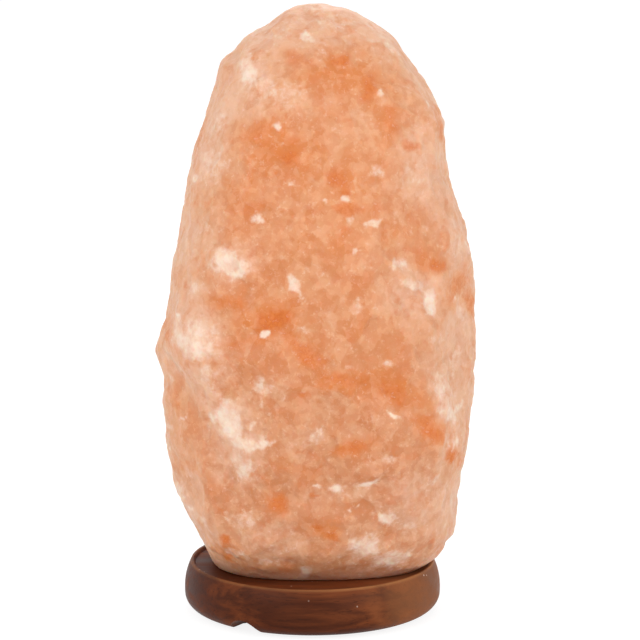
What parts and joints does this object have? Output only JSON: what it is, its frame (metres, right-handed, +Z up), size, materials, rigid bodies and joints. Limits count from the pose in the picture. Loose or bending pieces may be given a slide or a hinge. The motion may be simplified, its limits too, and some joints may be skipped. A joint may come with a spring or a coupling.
{
  "type": "salt crystal lamp",
  "caption": "Table lamp: a rough block of orange rock salt on a turned wooden base, lit by a small screw-cap bulb in a sprung holder inside it.",
  "frame": {"origin": "on the axis of the turned base, in the plane that the lamp stands on", "axes": "+Z up along the axis of the base, bore, holder and bulb; -Y is the front, with the crystal's widest face; +X is to the right of it"},
  "size_m": [0.1439, 0.1191, 0.273],
  "materials": {
    "salt": "rough broken rock salt, orange-pink with pale veins",
    "wood": "dark brown stained hardwood, oiled",
    "pad_rubber": "matt black",
    "zinc_steel": "bright zinc plate",
    "anchor_plastic": "plain grey nylon",
    "spring_steel": "bare drawn wire",
    "brass": "turned and pressed brass",
    "holder_plastic": "off-white moulded phenolic",
    "ceramic": "unglazed white porcelain",
    "bulb_glass": "clear",
    "nickel": "nickel-plated brass",
    "black_glass": "black fused glass",
    "solder": "tinned solder",
    "nickel_wire": "bare wire",
    "tungsten": "dark grey wire"
  },
  "bodies": {
    "root": {"salt_crystal": "salt", "wooden_base": "wood", "floor_pads": "pad_rubber", "base_screws": "zinc_steel", "screw_anchors": "anchor_plastic"},
    "fitting": {"clip_bracket": "zinc_steel", "clip_pins": "spring_steel", "lead_nipple": "brass", "nipple_nut": "brass", "holder_cap": "holder_plastic", "holder_sleeve": "holder_plastic", "terminal_block": "ceramic", "socket_shell": "brass", "centre_contact": "brass", "side_contact": "brass", "terminal_screws": "brass"},
    "left_clip": {"clip_spring_left": "spring_steel"},
    "right_clip": {"clip_spring_right": "spring_steel"},
    "bulb": {"bulb_glass": "bulb_glass", "bulb_cap": "nickel", "bulb_insulator": "black_glass", "bulb_tip": "solder", "bulb_stem": "bulb_glass", "bulb_leads": "nickel_wire", "bulb_filament": "tungsten", "filament_support": "nickel_wire"}
  },
  "joints": [
    {"name": "fitting_pull", "type": "slide", "parent": "root", "child": "fitting", "axis": [0, 0, -1], "range_m": [0, 0.1]},
    {"name": "bulb_unscrew", "type": "hinge", "parent": "fitting", "child": "bulb", "pos_m": [0, 0, 0.05], "axis": [0, 0, 1], "range_deg": [0, 1800]},
    {"name": "left_clip_pinch", "type": "hinge", "parent": "fitting", "child": "left_clip", "pos_m": [-0.016, 0, 0.0175], "axis": [0, 1, 0], "range_deg": [0, 8], "stiffness_Nm_per_rad": 0.01, "springref_deg": -28.65},
    {"name": "right_clip_pinch", "type": "hinge", "parent": "fitting", "child": "right_clip", "pos_m": [0.016, 0, 0.0175], "axis": [0, -1, 0], "range_deg": [0, 8], "stiffness_Nm_per_rad": 0.01, "springref_deg": -28.65}
  ]
}
